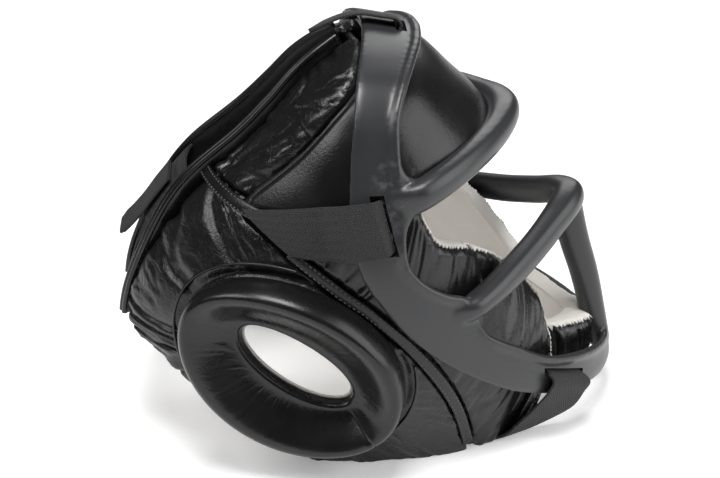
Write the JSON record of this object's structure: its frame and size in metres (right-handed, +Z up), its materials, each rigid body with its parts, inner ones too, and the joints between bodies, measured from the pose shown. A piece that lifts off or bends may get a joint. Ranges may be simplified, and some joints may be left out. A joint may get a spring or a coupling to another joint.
{
  "type": "sparring headgear with face mask",
  "caption": "Padded leather sparring headgear with ear rings, suede lining, a moulded plastic face mask with bars, and woven straps that hold the mask and close the back.",
  "frame": {"origin": "on the table under the middle of the overall box", "axes": "+Z up as it stands on its jaw edges, -Y towards the face, +X towards the wearer's left"},
  "size_m": [0.2316, 0.293, 0.2369],
  "materials": {
    "leather": "black leather, glossy on its folds",
    "suede": "pale grey-beige suede lining",
    "mask_plastic": "satin dark grey moulded plastic",
    "webbing": "charcoal woven elastic"
  },
  "bodies": {
    "root": {"forehead_pad": "leather", "forehead_lining": "suede", "crown_panel_left": "leather", "crown_panel_right": "leather", "crown_lining_left": "suede", "crown_lining_right": "suede", "ear_panel_left": "leather", "ear_panel_right": "leather", "ear_lining_left": "suede", "ear_lining_right": "suede", "cheek_pad_left": "leather", "cheek_pad_right": "leather", "cheek_lining_left": "suede", "cheek_lining_right": "suede", "chin_pad": "leather", "chin_lining": "suede", "ear_ring_left": "leather", "ear_ring_right": "leather", "rim_binding_left": "leather", "rim_binding_right": "leather", "face_mask": "mask_plastic", "temple_strap_left": "webbing", "temple_strap_right": "webbing", "jaw_strap_left": "webbing", "jaw_strap_right": "webbing", "top_strap": "webbing", "upper_back_strap": "webbing", "lower_back_strap": "webbing", "back_tab": "webbing"}
  },
  "joints": []
}
